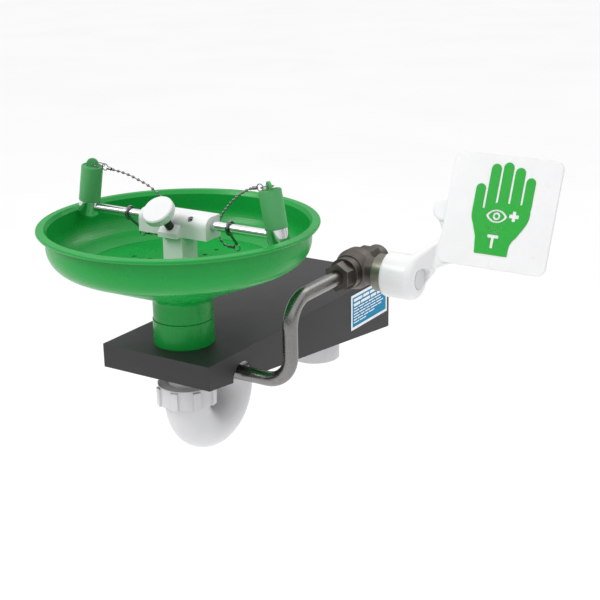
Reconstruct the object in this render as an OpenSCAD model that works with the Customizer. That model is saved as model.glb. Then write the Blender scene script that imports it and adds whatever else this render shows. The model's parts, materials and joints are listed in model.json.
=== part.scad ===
// Wall-mounted barrier-free eyewash station: a round bowl on a folded shelf bracket, two spray
// heads with lift-off dust caps, a stay-open ball valve with a push flag, and a waste trap.
// The origin is the middle of the wall face. +Y runs into the wall, the user stands at -Y.
// Heights named *_z are measured from the top of the shelf bracket, and *_reach from the wall.

/* [Bracket] */
// Width of the shelf bracket
bracket_w = 133; // [124:1:166]
// Distance from the wall to the front of the bracket
bracket_l = 362; // [355:1:440]
// Depth of the front skirt
front_h = 25; // [18:1:32]
// Height of the bracket at the wall
wall_h = 69; // [60:1:90]
// Thickness of the folded sheet
sheet_t = 2.5; // [2:0.5:4]
// Thickness of the welded wall plate
plate_t = 3; // [2:0.5:6]
// Diameter of the wall plate's screw holes
wall_hole_d = 9; // [6:0.5:12]
// Distance from the wall plate's edges to its screw holes
wall_hole_edge = 17; // [12:1:24]
// Half width of the arched notch that the supply tube leaves through
notch_r = 16.5; // [10:0.5:18]

/* [Bowl] */
// Distance from the wall to the bowl's centre line
bowl_reach = 313; // [270:1:320]
// Outer diameter of the bowl's rim
rim_d = 280; // [233:1:340]
// Height of the rim above the bracket
rim_z = 126; // [120:1:155]
// Width of the flange that turns outward at the rim
flange_w = 8.5; // [5:0.5:12]
// Wall thickness of the bowl
bowl_t = 2.5; // [2:0.5:4]
// Outer radius of the turn from the wall into the floor
corner_r = 24; // [18:1:30]
// Slope of the bowl's floor, in degrees
floor_a = 22.8; // [15:0.2:24]
// Outer diameter of the neck
neck_d = 61; // [58:1:75]
// Height of the collar round the foot of the neck
collar_h = 26; // [15:1:32]
// Height of the flat strainer's upper face
strainer_z = 81; // [74:1:86]

/* [Spray head] */
// Side of the square post
post_w = 24; // [20:1:30]
// Half length of the head block across both arms
head_half = 41.5; // [36:0.5:50]
// Height of the head block's underside
head_z = 113; // [100:1:125]
// Height of the head block
head_h = 22.5; // [20:0.5:28]
// Depth of the head block from front to back
head_dp = 24; // [20:1:30]
// Outer diameter of the two arm tubes
arm_d = 9.5; // [8:0.5:12]
// Distance from the centre line to each spray head's axis at the tube
spray_x = 116.8; // [100:0.1:118]
// Inward lean of each spray head, in degrees
spray_lean = 10.5; // [0:0.5:20]
// Outer diameter of the dust caps
cap_d = 22.2; // [20:0.2:27]
// Height of the dust caps
cap_h = 36; // [30:1:45]
// Diameter of the flow knob
knob_d = 34; // [28:1:41]
// Thickness of the flow knob
knob_t = 9; // [6:1:11]
// Angle between the knob's axis and the horizontal, in degrees
knob_a = 50; // [40:1:60]

/* [Supply] */
// Outer diameter of the supply tube
tube_d = 15; // [12:0.5:18]
// Wall of the supply tube
tube_t = 1.2; // [0.8:0.1:2]
// Radius of the supply tube's bends, at its middle
tube_bend = 28; // [25:1:36]
// Distance from the wall to the tube's vertical stretch
feed_reach = 306; // [265:1:315]
// Height of the tube's lower run
feed_z = -24.5; // [-28:0.5:-22]
// Distance from the centre line to the valve
valve_x = 124; // [115:1:150]
// Distance from the wall to the valve's stem
valve_reach = 179; // [150:1:190]
// Height of the valve above the bracket
valve_z = 60; // [50:1:80]
// Diameter of the valve's ball
ball_d = 25; // [22:1:28]
// Diameter of the valve's stem
stem_d = 10; // [8:1:12]

/* [Push handle] */
// Diameter of the handle's hub
hub_d = 47; // [40:1:57]
// Length of the handle's hub
hub_l = 36; // [30:1:46]
// Width of the flag
flag_w = 114; // [95:1:140]
// Height of the flag
flag_h = 113; // [94:1:120]
// Thickness of the flag
flag_t = 3; // [2:0.5:5]
// Corner radius of the flag
flag_r = 9; // [3:1:20]
// Lean of the closed flag towards the wall, in degrees
flag_lean = 22; // [10:1:26]

/* [Waste] */
// Outer diameter of the trap's bend
trap_d = 46; // [42:1:50]
// Radius of the trap's bend, at its middle
trap_bend = 39; // [36:1:44]
// Height of the straight legs' lower ends
trap_z = -68; // [-80:1:-66]
// Diameter of the slip nut over its ribs
slip_nut_d = 63; // [60:1:68]
// Height of the pipe that runs to the wall
arm_z = -30; // [-32:0.5:-29]
// Distance from the wall to the waste outlet's centre line
outlet_reach = 62.5; // [50:0.5:80]
// Outer diameter of the waste outlet's hub
outlet_d = 59; // [55:1:64]
// Bore of the waste outlet's hub, for 1 1/2 inch pipe
outlet_bore_d = 48.4; // [42:0.2:50]
// Height of the waste outlet's mouth
outlet_z = -99; // [-110:1:-95]

/* [Hidden] */
$fn = 64;

seat = 0.3;        // gap between curved faces of pieces that are not joined
run_gap = 0.06;    // radial running clearance of a turning pin
eps = 0.01;
top_z = wall_h / 2;

steel_dark = [0.24, 0.24, 0.26];
green = [0.10, 0.62, 0.28];
cap_green = [0.36, 0.68, 0.42];
white = [0.95, 0.95, 0.94];
pipe_grey = [0.80, 0.81, 0.82];
bronze = [0.36, 0.33, 0.31];
chrome = [0.82, 0.83, 0.85];
brass = [0.75, 0.62, 0.35];

// Bracket, seen from the side
skirt_side = [[-bracket_l, 0], [-bracket_l, -front_h], [-plate_t, -wall_h], [-plate_t, 0]];
hole_span_x = bracket_w - 2 * wall_hole_edge;
hole_span_z = wall_h - 2 * wall_hole_edge;
label_w = 85;
label_h = 42;
label_t = 0.4;
label_reach = 5.5;  // from the wall to the label's nearer edge
label_z = -6;
notch_top_z = -12.5;

// Bowl
wall_r = rim_d / 2 - flange_w;
neck_r = neck_d / 2;
spigot_r = neck_r - 3.5;
neck_bore_r = spigot_r - 3;
floor_z0 = 51.5;    // height of the outer floor at floor_r0
floor_r0 = 36;
neck_fillet = 8;
rim_t = 4;
arc_steps = 8;
corner_x = wall_r - corner_r;

// Drain under the bowl
gasket_t = 1.5;
drain_flange_t = 4.5;
drain_bore_r = 16;
drain_thread_r = 21;
drain_body_r = 22.5;
tail_d = 38;
tee_top_z = -14;
tee_end_z = -37;
spigot_z = gasket_t + drain_flange_t;
locknut_h = 9;
nut_top_z = -45;
nut_h = 21;
trap_thread_r = 26;
trap_t = 3;
trap_top_z = nut_top_z - 5;
tail_end_z = trap_top_z - 12;
trap_y2 = -bowl_reach + 2 * trap_bend;
elbow_r = 21.5;
elbow_bore_r = 18;
elbow_bend = 22;
elbow_hub_r = trap_d / 2 + 3;
elbow_z = arm_z - elbow_bend;
arm_pipe_d = 38;
arm_pipe_t = 2;
socket_l = 14;
outlet_bend = 24;
outlet_hub_h = 25;
outlet_socket = 22;

// Supply from the valve to the post
elbow_stub_r = 9.5;
feed_bore_r = 5.5;
riser_r = 8;
riser_collar_z = 34;
riser_collar_h = 6;
riser_top_z = 100;
post_z = riser_collar_z + riser_collar_h;
feed_stub_x = 42;
feed_socket = 12;
tube_r = tube_d / 2;
tube_in_x = feed_stub_x - feed_socket + 1;
ferrule_l = 6;

// Valve, along Y through the ball's centre
ball_r = ball_d / 2;
ball_bore_r = 7;
body_r = 21.5;
body_mouth_r = 17.5;
body_front = 15;    // from the ball's centre to the body's front face
body_rear = 14;     // and to its hexagon
hex_r = 18;
hex_l = 19;
rear_r = 14;
inlet_end = 48;     // and to the mouth of the water inlet
inlet_r = 9.3;      // pilot bore of a 1/2 inch pipe thread
inlet_l = 20;
collar_r = 16.5;
collar_l = 10;
collar_depth = 6;   // of the collar that the tube goes into
nut_r = 15;         // over the corners
nut_l = 14;
seat_t = 3.5;
seat_r = 13.8;
side_boss_r = body_front - 0.5;
side_boss_x = 28;
bonnet_r = 19.5;
bonnet_l = 10;
bonnet_gap = 1;
stem_r = stem_d / 2;
tang_w = 5;
tang_h = 14;
tang_l = 3.5;
packing_r = 9;
packing_l = 4;
hub_x = valve_x + side_boss_x + bonnet_l + bonnet_gap;
stem_end_x = hub_x + hub_l - 12;
tube_in_reach = valve_reach + body_front + collar_l - collar_depth;

// Handle
hub_r = hub_d / 2;
hub_end_x = hub_x + hub_l;
hub_round = 9;      // radius of the hub's rounded end
cap_disc_r = 11;
cap_disc_t = 2;
screw_head_r = 5.5;
screw_head_l = 4;
screw_r = 3;
flag_x = hub_end_x + 13;
flag_back = 9;      // from the stem's axis to the flag's foot, towards the wall
flag_up = 18.6;     // and upwards
flag_reach = valve_reach - flag_back;
flag_z = valve_z + flag_up;
hub_s = -flag_back * sin(flag_lean) - flag_up * cos(flag_lean);  // the hub's centre in the flag's frame
hub_n = -flag_back * cos(flag_lean) + flag_up * sin(flag_lean);
boss_x = -4;
boss_s = 53;
boss_r = 12;
boss_l = 12;
flag_screw_x = 12;
flag_screw_s = [7, 24];
flag_screw_l = flag_t + 4;  // from the flag's face to under the screws' heads

// Hand sign on the flag, from the flag's lower left corner: [left, right, tip, foot]
hand_t = 0.6;
fingers = [[28.5, 38.5, 83, 56], [41, 51.3, 104, 56], [53.7, 64.2, 106.5, 56],
    [66.6, 77, 102.5, 56], [79.3, 89, 93.5, 62]];
palm = concat([[28.5, 58]], arc(50.5, 54, 22, 180, 212, 4), [[36.5, 30], [38.5, 14], [73, 14]],
    arc(89.5, 21, 16.5, 175, 131, 4), arc(66, 57, 23, -33, 12, 5), [[79.3, 66], [66.6, 66]],
    [[53.7, 66], [41, 59]]);
eye_at = [55, 52.5];
cross_at = [73, 54.2];
jet_top = 34;

// Head, from the bowl's centre line
tube_z = head_z + 13.5;
head_front = -head_dp / 2;
head_round = 10;
lug_w = 23;
lug_front = -20;
lug_h = 5;
arm_r = arm_d / 2;
arm_t = 1;
arm_in = 14;
knob_out = 28;      // from the lug's slope to the knob's face
knob_foot_y = -15.5;
knob_foot_z = head_z + 11.2;
knob_stem_r = 4.2;
knob_in = 8;
knob_ribs = 36;
knob_hub_l = 6;
plug_x = 21;
plug_r = 3.2;

// Spray heads, along their own leaning axis from the caps' lower edge
cap_r = cap_d / 2;
cap_bore_r = cap_r - 2;
cap_top_t = 3.5;
cap_lip_h = 0.8;
spray_r = cap_r - 0.5;
spigot_top = 14;
spray_spigot_r = cap_bore_r - seat;
spray_foot = -17;
spray_bore_r = 5.5;
cap_base_z = tube_z + 7;
nozzle_r = spray_spigot_r - 1.5;
nozzle_t = 3;
nozzle_hole_r = 0.8;
ear_r = 6.2;
ear_up = 2.6;       // from the cap's top to the middle of the ear
ear_t = 2.4;
ear_hole_r = 1.5;
ear_hole_up = 2.9;
ear_turn_left = 32;
ear_turn_right = 142;
wire_r = 0.5;
eye_ring_r = 6.2;   // ring through the ear
split_ring_r = 3.4; // ring between that and the chain's end socket
socket_r = 1.7;
socket_len = 5;
clip_x = 62;
clip_wire_r = 1.3;
tail_drop = 20;     // from the arm tube's axis down to the clip's eye
tail_back = 14.5;   // and from it towards the wall
tail_in = 3;        // and towards the bowl's centre line

// Hanging bead chains: points from the bowl's centre line and the bracket's top
bead_d = 3;
chain_left_pts = [[-86, 3.4, 168], [-80.5, 4, 167], [-75, 5, 166], [-69.5, 6, 164.5],
    [-64, 7.5, 162.5], [-59, 9, 160], [-54, 10.5, 157.5], [-49.5, 12, 155], [-45, 13.5, 152],
    [-41, 15, 148.5], [-37, 16.5, 145], [-33.5, 17.5, 140.5], [-30.5, 18.5, 136], [-28, 19, 131],
    [-26, 19, 125.5], [-25, 19, 120], [-26, 18.5, 114.5], [-29, 18, 109.5], [-33.5, 17.5, 106],
    [-39, 17, 103.5], [-45, 16, 102.5], [-50.2, 14.5, 103.1]];
chain_right_pts = [[86.5, 4, 168], [81.5, 4.5, 166], [76.5, 5.5, 163.5], [71.5, 6.5, 160.5],
    [66.5, 7.5, 157], [62, 9, 153.5], [57, 10, 149.5], [52.5, 11.5, 145.5], [48.5, 13, 141.5],
    [44, 14.5, 137], [40.5, 16, 132.5], [37, 17.5, 127.5], [34.5, 18.5, 122.5], [33.5, 18.5, 117],
    [34.5, 18.5, 111.5], [37, 18, 107], [41, 17, 104], [45.5, 16, 102.5], [50.2, 14.5, 103.1]];

function arc(cx, cy, r, a0, a1, n = arc_steps) =
    [for (i = [0 : n]) let (a = a0 + (a1 - a0) * i / n) [cx + r * cos(a), cy + r * sin(a)]];

// Height of the bowl's sloping floor at radius r, moved inward by t
function floor_at(r, t = 0) = floor_z0 + (r - floor_r0) * tan(floor_a) + t / cos(floor_a);

// Radius of the bowl's inner floor at height z
function floor_radius(z) = floor_r0 + (z - floor_z0 - bowl_t / cos(floor_a)) / tan(floor_a);

corner_z = floor_at(corner_x + corner_r * sin(floor_a)) + corner_r * cos(floor_a);

// Turn between a neck of radius n and the floor moved inward by t
function neck_turn(n, f, t) =
    let (zf = floor_at(n + f - f * sin(floor_a), t) - f * cos(floor_a))
    arc(n + f, zf, f, 180, 90 + floor_a);

// Turn between the floor and the wall, moved inward by t
function wall_turn(t) = arc(corner_x, corner_z, corner_r - t, floor_a - 90, 0);

function reversed(list) = [for (i = [len(list) - 1 : -1 : 0]) list[i]];

module raised() translate([0, 0, top_z]) children();
module at_bowl() translate([0, -bowl_reach, top_z]) children();
module at_valve() translate([valve_x, -valve_reach, valve_z + top_z]) children();

// Turn a solid made along Z so that it runs along X, along +Y, or along -Y
module along_x() rotate([0, 90, 0]) children();
module along_y() rotate([-90, 0, 0]) children();
module along_front() rotate([90, 0, 0]) children();

module ring(outer, inner, h) {
    difference() {
        cylinder(r = outer, h = h);
        translate([0, 0, -1]) cylinder(r = inner, h = h + 2);
    }
}

// Hexagon nut along Z with a round hole
module hex_nut(corner, inner, h) {
    difference() {
        cylinder(r = corner, h = h, $fn = 6);
        translate([0, 0, -1]) cylinder(r = inner, h = h + 2);
    }
}

module quarter_bend(bend, r) rotate_extrude(angle = 90) translate([bend, 0]) circle(r = r);

// ---- Bracket ----

module bracket_shell() {
    color(steel_dark) raised() difference() {
        union() {
            translate([-bracket_w / 2, -bracket_l, -sheet_t])
                cube([bracket_w, bracket_l - plate_t, sheet_t]);
            translate([-bracket_w / 2, -bracket_l, -front_h]) cube([bracket_w, sheet_t, front_h]);
            for (x = [-bracket_w / 2, bracket_w / 2 - sheet_t])
                translate([x, 0, 0]) rotate([90, 0, 90]) linear_extrude(sheet_t) polygon(skirt_side);
        }
        translate([0, -bowl_reach, -sheet_t - 1])
            cylinder(r = drain_thread_r + 0.75, h = sheet_t + 2);
        translate([bracket_w / 2 - sheet_t - 1, -feed_reach, notch_top_z - notch_r]) {
            along_x() cylinder(r = notch_r, h = sheet_t + 2);
            translate([0, -notch_r, -front_h]) cube([sheet_t + 2, 2 * notch_r, front_h]);
        }
    }
}

module wall_plate() {
    color(steel_dark) difference() {
        translate([-bracket_w / 2, -plate_t, -wall_h / 2]) cube([bracket_w, plate_t, wall_h]);
        for (x = [-1, 1], z = [-1, 1])
            translate([x * hole_span_x / 2, -plate_t - 1, z * hole_span_z / 2])
                along_y() cylinder(d = wall_hole_d, h = plate_t + 2);
    }
}

module side_label() {
    color([0.16, 0.55, 0.78]) raised()
        translate([bracket_w / 2, -label_reach - label_w, label_z - label_h])
            cube([label_t, label_w, label_h]);
}

// ---- Bowl ----

module bowl() {
    outer = concat([[spigot_r, spigot_z], [spigot_r, collar_h + seat], [neck_r, collar_h + seat]],
        neck_turn(neck_r, neck_fillet, 0), wall_turn(0),
        [[wall_r, rim_z - rim_t - 2], [wall_r + 2, rim_z - rim_t], [rim_d / 2 - 1, rim_z - rim_t]],
        arc(rim_d / 2 - rim_t / 2, rim_z - rim_t / 2, rim_t / 2, -60, 60, 4));
    inner = concat([[neck_bore_r, spigot_z]], neck_turn(neck_bore_r, neck_fillet, bowl_t),
        wall_turn(bowl_t), [[wall_r - bowl_t, rim_z - rim_t], [wall_r - bowl_t + 3, rim_z]]);
    color(green) at_bowl() rotate_extrude() polygon(concat(outer, reversed(inner)));
}

module neck_collar() {
    color(green) at_bowl() ring(neck_r + 0.7, spigot_r + 0.1, collar_h);
}

// Flat strainer: straight rows of holes run out from the post along both axes
module strainer_plate() {
    plate_h = 2.5;
    top_r = floor_radius(strainer_z) - 1;
    row_r = [20, 39.5, 60];
    color(green) at_bowl() difference() {
        rotate_extrude() polygon([[0, strainer_z - plate_h],
            [top_r - plate_h / tan(floor_a), strainer_z - plate_h], [top_r, strainer_z],
            [0, strainer_z]]);
        translate([0, 0, strainer_z]) cube([post_w + 1, post_w + 1, 4 * plate_h], center = true);
        for (a = [0 : 90 : 270], r = row_r)
            rotate([0, 0, a]) translate([r, 0, strainer_z - plate_h - 1])
                cylinder(r = 2.6, h = plate_h + 2);
    }
}

// ---- Waste ----

module drain_gasket() {
    color([0.1, 0.1, 0.1]) at_bowl() ring(spigot_r - 0.5, drain_thread_r + 0.2, gasket_t);
}

module drain_body() {
    port_y = bowl_reach - feed_reach;
    color(white) at_bowl() difference() {
        union() {
            translate([0, 0, gasket_t]) cylinder(r = spigot_r - 0.5, h = drain_flange_t);
            translate([0, 0, tee_top_z]) cylinder(r = drain_thread_r, h = gasket_t - tee_top_z);
            translate([0, 0, tee_end_z]) cylinder(r = drain_body_r, h = tee_top_z - tee_end_z);
            translate([0, 0, tail_end_z]) cylinder(d = tail_d, h = tee_end_z - tail_end_z);
            translate([0, port_y, feed_z]) along_x() cylinder(r = 12, h = drain_body_r + 8);
        }
        translate([0, 0, tail_end_z - 1]) cylinder(r = drain_bore_r, h = spigot_z - tail_end_z + 2);
        translate([-3, port_y, feed_z]) along_x()
            cylinder(r = elbow_stub_r + 0.05, h = drain_body_r + 12);
    }
}

module drain_locknut() {
    color(white) at_bowl() translate([0, 0, -sheet_t - locknut_h])
        hex_nut(31, drain_thread_r + 0.1, locknut_h);
}

module trap_slip_nut() {
    lip_h = 3.5;
    color(pipe_grey) at_bowl() translate([0, 0, nut_top_z - nut_h]) difference() {
        union() {
            cylinder(d = slip_nut_d - 4, h = nut_h);
            for (a = [0 : 45 : 315]) rotate([0, 0, a + 12]) translate([slip_nut_d / 2 - 4, -4, 0])
                cube([4, 8, nut_h - 2]);
        }
        translate([0, 0, -1]) cylinder(r = trap_thread_r + 0.1, h = nut_h - lip_h + 1);
        cylinder(d = tail_d + 0.4, h = nut_h + 1);
    }
}

module trap_washer() {
    color(white) at_bowl() translate([0, 0, trap_top_z])
        ring(trap_thread_r - 0.4, tail_d / 2 + 0.1, nut_top_z - 3.5 - trap_top_z);
}

module j_bend_solid(r) {
    translate([0, 0, trap_z]) cylinder(r = r, h = trap_top_z - trap_z);
    translate([0, trap_bend, trap_z]) rotate([-90, 0, -90])
        rotate_extrude(angle = 180) translate([trap_bend, 0]) circle(r = r);
    translate([0, 2 * trap_bend, trap_z]) cylinder(r = r, h = elbow_z - trap_z);
}

module trap_j_bend() {
    bore_r = trap_d / 2 - trap_t;
    color(pipe_grey) at_bowl() difference() {
        union() {
            j_bend_solid(trap_d / 2);
            translate([0, 0, nut_top_z - nut_h + 1])
                cylinder(r = trap_thread_r, h = trap_top_z - nut_top_z + nut_h - 1);
        }
        j_bend_solid(bore_r);
        translate([0, 0, trap_top_z - eps]) cylinder(r = bore_r, h = 1);
        translate([0, 2 * trap_bend, elbow_z - eps]) cylinder(r = bore_r, h = 1);
    }
}

// Inside or outside of an elbow between a vertical pipe and one that runs to the wall
module elbow_solid(bend, r, low, out) {
    translate([0, 0, -low]) cylinder(r = r, h = low);
    translate([0, bend, 0]) rotate([90, 0, -90]) quarter_bend(bend, r);
    translate([0, bend, bend]) along_y() cylinder(r = r, h = out);
}

module trap_elbow() {
    hub_h = 9;
    color(pipe_grey) translate([0, trap_y2, elbow_z + top_z]) difference() {
        union() {
            elbow_solid(elbow_bend, elbow_r, hub_h, socket_l + 2);
            translate([0, 0, -hub_h]) cylinder(r = elbow_hub_r, h = hub_h + 4);
        }
        elbow_solid(elbow_bend, elbow_bore_r, 1, 3);
        translate([0, 0, -hub_h - 1]) cylinder(d = trap_d + 0.2, h = hub_h + 1);
        translate([0, elbow_bend + 2, elbow_bend]) along_y()
            cylinder(d = arm_pipe_d + 0.2, h = socket_l + 1);
    }
}

module trap_arm() {
    start_y = trap_y2 + elbow_bend + 2;
    end_y = -outlet_reach - outlet_bend - 2;
    color(pipe_grey) translate([0, start_y, arm_z + top_z]) along_y()
        ring(arm_pipe_d / 2, arm_pipe_d / 2 - arm_pipe_t, end_y - start_y);
}

module waste_elbow() {
    mouth = outlet_z - arm_z + outlet_bend;
    color(pipe_grey) translate([0, -outlet_reach, arm_z - outlet_bend + top_z])
        rotate([0, 0, 180]) difference() {
            union() {
                elbow_solid(outlet_bend, elbow_r, -mouth, socket_l + 2);
                translate([0, 0, mouth]) cylinder(d = outlet_d, h = outlet_hub_h);
            }
            elbow_solid(outlet_bend, elbow_bore_r, -mouth - outlet_socket + 1, 3);
            translate([0, 0, mouth - 1]) cylinder(d = outlet_bore_d, h = outlet_socket + 1);
            translate([0, outlet_bend + 2, outlet_bend]) along_y()
                cylinder(d = arm_pipe_d + 0.2, h = socket_l + 1);
        }
}

// ---- Supply ----

module feed_elbow() {
    port_y = bowl_reach - feed_reach;
    color(brass) at_bowl() difference() {
        union() {
            translate([-2, port_y, feed_z]) along_x() cylinder(r = elbow_stub_r, h = feed_stub_x + 2);
            translate([0, 0, feed_z - 7]) cylinder(r = riser_r, h = riser_top_z - feed_z + 7);
            translate([0, 0, riser_collar_z]) cylinder(r = riser_r + 4, h = riser_collar_h);
        }
        translate([0, port_y, feed_z]) along_x() cylinder(r = feed_bore_r, h = feed_stub_x + 1);
        translate([feed_stub_x - feed_socket, port_y, feed_z]) along_x()
            cylinder(r = tube_r + 0.05, h = feed_socket + 1);
        translate([0, 0, feed_z - 4]) cylinder(r = feed_bore_r, h = riser_top_z - feed_z + 5);
    }
}

module feed_nut() {
    nut_w = 14;
    color(brass) translate([feed_stub_x - 6, -feed_reach, feed_z + top_z]) along_x() difference() {
        hex_nut(13.5, tube_r + 0.1, nut_w);
        translate([0, 0, -1]) cylinder(r = elbow_stub_r + 0.05, h = 7);
        translate([0, 0, 5]) cylinder(r = tube_r + 2.05, h = 4);
    }
}

// Compression rings: one under each nut of the supply tube
module tube_ferrules() {
    color(brass) raised() {
        translate([feed_stub_x + 0.1, -feed_reach, feed_z]) along_x()
            ring(tube_r + 2, tube_r + 0.05, 2.8);
        translate([valve_x, -valve_reach - body_front - collar_l - 0.1, valve_z]) along_front()
            ring(tube_r + 2, tube_r + 0.05, ferrule_l);
    }
}

module supply_tube_solid(r) {
    top_run = feed_reach - tube_bend;
    low_x = valve_x - tube_bend;
    translate([valve_x, -tube_in_reach, valve_z]) along_front()
        cylinder(r = r, h = top_run - tube_in_reach);
    translate([valve_x, -top_run, valve_z - tube_bend]) rotate([90, 0, -90])
        quarter_bend(tube_bend, r);
    translate([valve_x, -feed_reach, feed_z + tube_bend])
        cylinder(r = r, h = valve_z - feed_z - 2 * tube_bend);
    translate([low_x, -feed_reach, feed_z + tube_bend]) rotate([-90, 0, 0])
        quarter_bend(tube_bend, r);
    translate([tube_in_x, -feed_reach, feed_z]) along_x() cylinder(r = r, h = low_x - tube_in_x);
}

module supply_tube() {
    bore_r = tube_r - tube_t;
    color([0.6, 0.6, 0.6]) raised() difference() {
        supply_tube_solid(tube_r);
        supply_tube_solid(bore_r);
        translate([valve_x, -tube_in_reach + 1, valve_z]) along_front() cylinder(r = bore_r, h = 2);
        translate([tube_in_x - 1, -feed_reach, feed_z]) along_x() cylinder(r = bore_r, h = 2);
    }
}

// ---- Valve ----

module compression_nut() {
    color(bronze) at_valve() translate([0, -body_front - collar_l, 0]) along_front() difference() {
        rotate([0, 0, 30]) hex_nut(nut_r, tube_r + 0.1, nut_l);
        translate([0, 0, -1]) cylinder(r = tube_r + 2.05, h = nut_l - 4);
    }
}

module valve_end() {
    color(bronze) at_valve() along_front() difference() {
        union() {
            translate([0, 0, body_front]) cylinder(r = collar_r, h = collar_l);
            translate([0, 0, ball_r + seat_t - 2]) cylinder(r = seat_r, h = body_front - ball_r);
        }
        cylinder(r = tube_r - tube_t, h = body_front + collar_l + 1);
        translate([0, 0, body_front + collar_l - collar_depth - 1])
            cylinder(r = tube_r + 0.05, h = collar_depth + 2);
    }
}

module valve_body() {
    barrel = body_rear + body_front;
    color(bronze) at_valve() difference() {
        union() {
            along_y() rotate_extrude() polygon([[0, -body_front], [body_mouth_r, -body_front],
                [body_r, -5], [body_r, 7], [hex_r - 3, body_rear + 2], [0, body_rear + 2]]);
            translate([0, body_rear, 0]) along_y() cylinder(r = hex_r, h = hex_l, $fn = 6);
            along_y() cylinder(r = rear_r, h = inlet_end);
            along_x() cylinder(r = side_boss_r, h = side_boss_x + 3);
        }
        translate([0, ball_r + seat_t - 2, 0]) along_front()
            cylinder(r = seat_r + 0.05, h = barrel + 10);
        along_y() cylinder(r = ball_bore_r, h = inlet_end);
        translate([0, inlet_end - inlet_l, 0]) along_y() cylinder(r = inlet_r, h = inlet_l + 1);
        along_x() cylinder(r = stem_r + run_gap, h = side_boss_x + 4);
        translate([side_boss_x + 3 - packing_l, 0, 0]) along_x()
            cylinder(r = packing_r, h = packing_l + 1);
    }
}

// Two soft rings that the ball turns against
module valve_seats() {
    color([0.93, 0.92, 0.88]) at_valve() for (side = [1, -1]) scale([1, side, 1]) difference() {
        translate([0, ball_r - 2, 0]) along_y() ring(seat_r, ball_bore_r, seat_t);
        sphere(r = ball_r + run_gap);
    }
}

module stem_packing() {
    color([0.2, 0.2, 0.2]) at_valve() translate([side_boss_x + 3 - packing_l, 0, 0]) along_x()
        ring(packing_r - 0.05, stem_r + run_gap, packing_l);
}

module bonnet_nut() {
    color([0.50, 0.50, 0.44]) at_valve() translate([side_boss_x, 0, 0]) along_x() difference() {
        ring(bonnet_r, stem_r + run_gap, bonnet_l);
        translate([0, 0, -1]) cylinder(r = side_boss_r + 0.05, h = 4);
    }
}

// The closed ball: its bore stands across the flow
module valve_ball() {
    color(chrome) at_valve() difference() {
        sphere(r = ball_r);
        cylinder(r = ball_bore_r, h = 2 * ball_d, center = true);
        translate([ball_r - tang_l, -tang_w / 2 - 0.1, -tang_h / 2 - 0.1])
            cube([tang_l + 1, tang_w + 0.2, tang_h + 0.2]);
    }
}

module valve_stem() {
    color(chrome) at_valve() difference() {
        union() {
            translate([ball_r + 0.8, 0, 0]) along_x()
                cylinder(r = stem_r, h = stem_end_x - valve_x - ball_r - 0.8);
            intersection() {
                translate([ball_r - tang_l + 0.1, -tang_w / 2, -tang_h / 2])
                    cube([tang_l + 1.2, tang_w, tang_h]);
                along_x() cylinder(r = stem_r, h = 3 * ball_r);
            }
        }
        translate([stem_end_x - valve_x - 10, 0, 0]) along_x() cylinder(r = screw_r + 0.05, h = 11);
    }
}

// ---- Push handle ----

// The flag's own frame: x along its foot, z up its face, y through its thickness to the wall
module in_flag() {
    translate([flag_x, -flag_reach, flag_z + top_z]) rotate([-flag_lean, 0, 0]) children();
}

module slab(x, n, s, size) translate([x, n, s]) cube(size);

module handle_hub() {
    web_t = 11;
    color(white) difference() {
        union() {
            translate([hub_x, -valve_reach, valve_z + top_z]) along_x() rotate_extrude()
                polygon(concat([[0, 0], [hub_r - 1, 0], [hub_r, 1]],
                    arc(hub_r - hub_round, hub_l - hub_round, hub_round, 0, 90), [[0, hub_l]]));
            in_flag() {
                hull() {
                    translate([hub_end_x - flag_x - hub_round - 3, hub_n, hub_s]) along_x()
                        cylinder(r = hub_r - 1, h = 4, $fn = 32);
                    slab(-9, flag_t, -8, [5, web_t, 26]);
                }
                hull() {
                    slab(-9, flag_t, -8, [5, web_t, 26]);
                    slab(1, flag_t, -3, [4, web_t - 3, 34]);
                }
                hull() {
                    slab(1, flag_t, -3, [4, web_t - 3, 34]);
                    slab(22, flag_t, 4, [4, 4, 24]);
                }
                hull() {
                    translate([boss_x, flag_t + 5, boss_s]) along_y()
                        cylinder(r = boss_r - 1, h = boss_l - 7, $fn = 32);
                    slab(6, flag_t, 20, [12, 6, 8]);
                }
                translate([boss_x, flag_t, boss_s]) along_y() {
                    cylinder(r = boss_r, h = boss_l - 3);
                    translate([0, 0, boss_l - 3]) cylinder(r1 = boss_r, r2 = boss_r - 3, h = 3);
                }
            }
        }
        translate([hub_x - 1, -valve_reach, valve_z + top_z]) along_x() {
            cylinder(r = stem_r + 0.03, h = stem_end_x - hub_x + 1.1);
            cylinder(r = screw_r + 0.3, h = hub_l + 2);
        }
        translate([hub_end_x - cap_disc_t - 0.2, -valve_reach, valve_z + top_z]) along_x()
            cylinder(r = cap_disc_r + 0.1, h = 40);
        translate([hub_end_x - cap_disc_t - screw_head_l - 1, -valve_reach, valve_z + top_z])
            along_x() cylinder(r = screw_head_r + 0.5, h = 10);
        in_flag() for (up = flag_screw_s) {
            translate([flag_screw_x, flag_t - 1, up]) along_y() cylinder(r = 1.9, h = 20);
            translate([flag_screw_x, flag_screw_l, up]) along_y() cylinder(r = 3.8, h = 20);
        }
    }
}

module hub_screw() {
    head_x = hub_end_x - cap_disc_t - screw_head_l - 1;
    color(chrome) translate([0, -valve_reach, valve_z + top_z]) {
        translate([stem_end_x - 8, 0, 0]) along_x() cylinder(r = screw_r, h = head_x - stem_end_x + 9);
        translate([head_x, 0, 0]) along_x() cylinder(r = screw_head_r, h = screw_head_l);
    }
}

module hub_cap() {
    color([0.86, 0.87, 0.88]) translate([hub_end_x - cap_disc_t, -valve_reach, valve_z + top_z])
        along_x() cylinder(r = cap_disc_r, h = cap_disc_t);
}

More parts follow.
